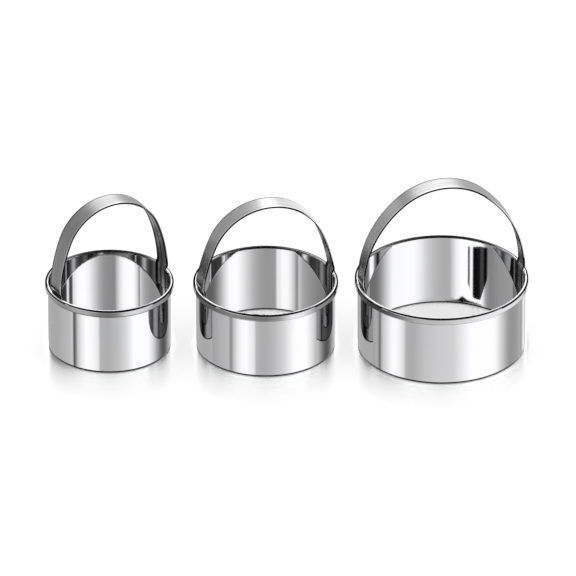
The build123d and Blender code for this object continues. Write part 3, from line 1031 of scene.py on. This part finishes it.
# %% Arcs of the arch
def arch_of(size):
    """Centre of the right side arc and radius of the crown arc, in the arch's own plane."""
    lean, join, foot = size["lean"], size["join"], size["height"] + JOGGLE_HEIGHT
    flatness = 1 - math.sin(join)
    run, climb = math.cos(lean) - math.cos(join), math.sin(join) - math.sin(lean)
    side = (((size["top"] - foot) * math.cos(join) - size["wall"] * flatness)
            / (climb * math.cos(join) - run * flatness))
    centre = Vector((size["wall"] - side * math.cos(lean), 0, foot - side * math.sin(lean)))
    crown = side + centre.x / math.cos(join)
    return centre, crown


for name, size in CUTTERS.items():
    print(name, "crown radius:", round(arch_of(size)[1] / MM, 1), "mm")

# %% [markdown]
# From each foot the strap goes down through the joggle, where it steps inwards and takes the
# wall's curve, and on down the leg. Extruding the row of edges at the foot step by step gives
# all of that, and a vertex bevel rounds the leg's corners.

# %% Joggle and leg
JOGGLE_STEPS, LEG_STEPS = 6, 3
CORNER_SEGMENTS = 5


def draw_down(strap, row, size, side):
    """Draws the row at a foot down through the joggle and the leg."""
    inside = size["wall"] - SHEET - LEG_GAP
    levels = [(size["height"] + JOGGLE_HEIGHT * (1 - step / JOGGLE_STEPS), step / JOGGLE_STEPS)
              for step in range(1, JOGGLE_STEPS + 1)]
    levels += [(size["height"] - size["leg"] * step / LEG_STEPS, 1)
               for step in range(1, LEG_STEPS + 1)]
    for level, share in levels:
        grown = bmesh.ops.extrude_edge_only(strap, edges=row)["geom"]
        row = [e for e in grown if isinstance(e, bmesh.types.BMEdge)
               and all(v in grown for v in e.verts)]
        eased = share * share * (3 - 2 * share)
        for vert in {v for edge in row for v in edge.verts}:
            curved = math.sqrt(inside ** 2 - vert.co.y ** 2)
            vert.co.x = side * (size["wall"] + (curved - size["wall"]) * eased)
            vert.co.z = level
    corners = [v for v in {v for edge in row for v in edge.verts} if len(v.link_edges) == 2]
    bmesh.ops.bevel(strap, geom=corners, affect="VERTICES", offset=LEG_CORNER,
                    segments=CORNER_SEGMENTS, profile=0.5, material=-1)


print("the joggle steps inwards by", round((SHEET + LEG_GAP) / MM, 2), "mm")

# %% [markdown]
# A handle starts as one row of points across the strap, at the outer face of the right foot. Three
# spins carry the row over the arch, and both feet are then drawn down.

# %% Sheet of the strap
ACROSS = 8
SIDE_STEPS, CROWN_STEPS = 24, 60


def strap_sheet(size):
    """The strap's outer face as a sheet without thickness."""
    centre, crown = arch_of(size)
    strap = bmesh.new()
    first = strap.verts.new((size["wall"], -STRAP_WIDTH / 2, size["height"] + JOGGLE_HEIGHT))
    bmesh.ops.spin(strap, geom=[first], axis=(0, 1, 0), cent=(0, 0, 0), angle=0, steps=ACROSS,
                   dvec=(0, STRAP_WIDTH / ACROSS, 0))
    right_row = strap.edges[:]
    crown_centre = Vector((0, 0, size["top"] - crown))
    mirrored = Vector((-centre.x, 0, centre.z))
    side_angle = size["join"] - size["lean"]
    row = strap.verts[:] + strap.edges[:]
    for middle, angle, steps in ((centre, side_angle, SIDE_STEPS),
                                 (crown_centre, math.pi - 2 * size["join"], CROWN_STEPS),
                                 (mirrored, side_angle, SIDE_STEPS)):
        row = bmesh.ops.spin(strap, geom=row, axis=(0, -1, 0), cent=middle, angle=angle,
                             steps=steps)["geom_last"]
    left_row = [e for e in row if isinstance(e, bmesh.types.BMEdge)]
    draw_down(strap, right_row, size, 1)
    draw_down(strap, left_row, size, -1)
    return strap


sheet = strap_sheet(CUTTERS["small"])
print("faces of a strap without thickness:", len(sheet.faces))
sheet.free()

# %% [markdown]
# The sheet is then thickened inwards. A cut near the middle of its narrow sides parts the burnished
# band from the fracture band. The outer long edges are barely broken. The inner ones are chamfered
# where the shears tore the strip, and take the fracture finish, painted nearly black: that is the dark
# line along each edge, painted shade.

# %% Thickness and edges
BURNISHED_SHARE = 0.45
OUTER_BREAK, OUTER_BREAK_SEGMENTS = 0.08 * MM, 2
INNER_BREAK, INNER_BREAK_SEGMENTS = 0.2 * MM, 3
OUTER_FACE, INNER_FACE, BURNISHED_BAND, FRACTURE_BAND = range(4)


def thick_strap(size):
    """The strap with its thickness and broken edges; its faces carry the four finishes."""
    strap = strap_sheet(size)
    crest = max(strap.faces, key=lambda face: face.calc_center_median().z)
    if crest.normal.z < 0:
        bmesh.ops.reverse_faces(strap, faces=strap.faces)
    depth = strap.verts.layers.float.new("depth")
    first = set(strap.verts)
    bmesh.ops.solidify(strap, geom=strap.faces[:], thickness=STRAP_THICKNESS)
    outermost = max(strap.verts, key=lambda vert: vert.co.z) in first
    for vert in strap.verts:
        vert[depth] = float((vert in first) != outermost)
    across = [e for e in strap.edges if e.verts[0][depth] != e.verts[1][depth]]
    bmesh.ops.subdivide_edges(strap, edges=across, cuts=1, edge_percents={
        e: BURNISHED_SHARE if e.verts[0][depth] == 0 else 1 - BURNISHED_SHARE for e in across})
    for face in strap.faces:
        depths = [vert[depth] for vert in face.verts]
        if max(depths) == 0:
            face.material_index = OUTER_FACE
        elif min(depths) == 1:
            face.material_index = INNER_FACE
        else:
            face.material_index = BURNISHED_BAND if min(depths) == 0 else FRACTURE_BAND
    outer_rim, inner_rim = [
        [e for e in strap.edges if {f.material_index for f in e.link_faces} == pair]
        for pair in ({OUTER_FACE, BURNISHED_BAND}, {INNER_FACE, FRACTURE_BAND})]
    for edges, width, segments, finish in (
            (outer_rim, OUTER_BREAK, OUTER_BREAK_SEGMENTS, OUTER_FACE),
            (inner_rim, INNER_BREAK, INNER_BREAK_SEGMENTS, FRACTURE_BAND)):
        bmesh.ops.bevel(strap, geom=edges, affect="EDGES", offset=width, offset_type="OFFSET",
                        segments=segments, profile=0.5, clamp_overlap=False, material=finish)
    return strap


print("burnished band:", BURNISHED_SHARE * STRAP_THICKNESS / MM, "mm of the edge")

# %% [markdown]
# A strap's legs and edges bend more from face to face than a ring does, so wider angles count as smooth.

# %% Handles
STRAP_SHARP = 40

for name, size in CUTTERS.items():
    handle = finish_piece(name + "_satin_handle", thick_strap(size),
                          [straps[name], inner_faces[name], burnished[name], fracture],
                          name + "_cutter", name + "_handle", size, STRAP_SHARP)
    steady = handle.modifiers.new("normals from the large faces", "WEIGHTED_NORMAL")
    steady.keep_sharp = True
    print(name, "handle:", len(handle.data.polygons), "faces")
